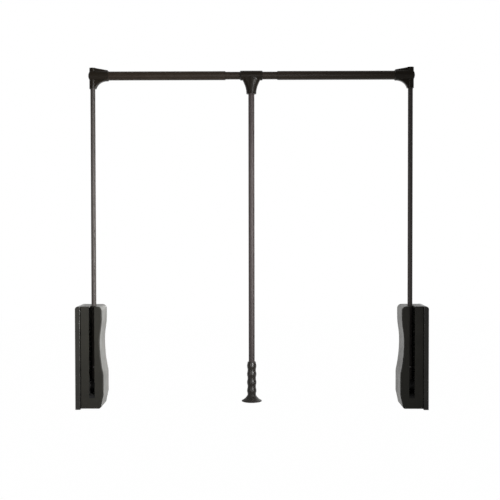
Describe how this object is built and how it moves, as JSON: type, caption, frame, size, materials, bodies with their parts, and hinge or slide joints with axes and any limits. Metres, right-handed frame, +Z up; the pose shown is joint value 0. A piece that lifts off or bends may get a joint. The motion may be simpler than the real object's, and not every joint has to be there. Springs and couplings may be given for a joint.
{
  "type": "pull-down wardrobe rail",
  "caption": "Telescopic clothes rail on swinging arms between spring housings fixed to wardrobe sides, with a hanging handle that pulls the rail forward and down.",
  "frame": {"origin": "bottom centre of the bounding box, midway between the two walls, at the foot of the wall bases", "axes": "+X from the left wall to the right wall, -Y out of the wardrobe towards the user, +Z up"},
  "size_m": [0.87, 0.075, 0.8455],
  "materials": {
    "housing_grey": "satin moulded grey plastic",
    "cover_dark": "fine matt dark plastic",
    "base_dark": "fine matt dark plastic",
    "fitting_dark": "satin near-black plastic",
    "rail_brown": "satin dark brown paint on steel tube",
    "arm_brown": "satin grey-brown paint on steel tube",
    "handle_brown": "satin grey-brown paint on steel tube",
    "grip_dark": "satin dark brown plastic",
    "rubber_black": "matt black rubber",
    "bright_steel": "zinc-plated steel",
    "spring_steel": "oiled spring steel",
    "cast_black": "black coated casting",
    "nylon_black": "black nylon",
    "rack_steel": "black oxide steel"
  },
  "bodies": {
    "left_housing": {"left_wall_base": "base_dark", "left_casing": "housing_grey", "left_front_cover": "cover_dark", "left_casing_screws": "bright_steel", "left_rest_bumper": "rubber_black", "left_slot_bumper": "rubber_black", "left_pivot_axle": "bright_steel", "left_lift_spring": "spring_steel", "left_spring_seat": "nylon_black", "left_rack_guide": "nylon_black"},
    "left_frame": {"left_hub_bushes": "nylon_black", "left_arm_hub": "cast_black", "left_lift_pinion": "cast_black", "left_arm_tube": "arm_brown", "left_arm_pin": "bright_steel", "left_elbow": "fitting_dark", "left_elbow_screws": "bright_steel", "left_outer_rail": "rail_brown"},
    "left_rack": {"left_spring_rack": "rack_steel"},
    "right_housing": {"right_wall_base": "base_dark", "right_casing": "housing_grey", "right_front_cover": "cover_dark", "right_casing_screws": "bright_steel", "right_rest_bumper": "rubber_black", "right_slot_bumper": "rubber_black", "right_pivot_axle": "bright_steel", "right_lift_spring": "spring_steel", "right_spring_seat": "nylon_black", "right_rack_guide": "nylon_black"},
    "right_frame": {"right_hub_bushes": "nylon_black", "right_arm_hub": "cast_black", "right_lift_pinion": "cast_black", "right_arm_tube": "arm_brown", "right_arm_pin": "bright_steel", "right_elbow": "fitting_dark", "right_elbow_screws": "bright_steel", "right_outer_rail": "rail_brown"},
    "right_rack": {"right_spring_rack": "rack_steel"},
    "inner_rail": {"inner_rail": "rail_brown", "left_rail_plug": "nylon_black", "right_rail_plug": "nylon_black", "tee_screw": "bright_steel"},
    "pull_handle": {"tee": "fitting_dark", "handle_rod": "handle_brown", "handle_screw": "bright_steel", "handle_grip": "grip_dark"}
  },
  "joints": [
    {"name": "lift", "type": "hinge", "parent": "left_housing", "child": "left_frame", "pos_m": [-0.394, -0.0065, 0.057], "axis": [1, 0, 0], "range_deg": [0, 118], "stiffness_Nm_per_rad": 15, "springref_deg": -40.11},
    {"name": "width_adjust", "type": "slide", "parent": "left_housing", "child": "right_housing", "axis": [1, 0, 0], "range_m": [-0.07, 0.28]},
    {"name": "right_arm_swing", "type": "hinge", "parent": "right_housing", "child": "right_frame", "pos_m": [0.394, -0.0065, 0.057], "axis": [1, 0, 0], "range_deg": [0, 118]},
    {"name": "left_rack_slide", "type": "slide", "parent": "left_housing", "child": "left_rack", "axis": [0, 0, 1], "range_m": [0, 0.0413], "deforming": ["left_lift_spring"]},
    {"name": "right_rack_slide", "type": "slide", "parent": "right_housing", "child": "right_rack", "axis": [0, 0, 1], "range_m": [0, 0.0413], "deforming": ["right_lift_spring"]},
    {"name": "inner_rail_slide", "type": "slide", "parent": "left_frame", "child": "inner_rail", "axis": [1, 0, 0], "range_m": [-0.035, 0.14]},
    {"name": "handle_swing", "type": "hinge", "parent": "inner_rail", "child": "pull_handle", "pos_m": [0, -0.0065, 0.826], "axis": [-1, 0, 0], "range_deg": [-15, 125]}
  ],
  "couplings": [
    {"joint": "right_arm_swing", "follows": "lift", "ratio": 1},
    {"joint": "left_rack_slide", "follows": "lift", "m_per_rad": 0.02},
    {"joint": "right_rack_slide", "follows": "lift", "m_per_rad": 0.02},
    {"joint": "inner_rail_slide", "follows": "width_adjust", "ratio": 0.5}
  ]
}
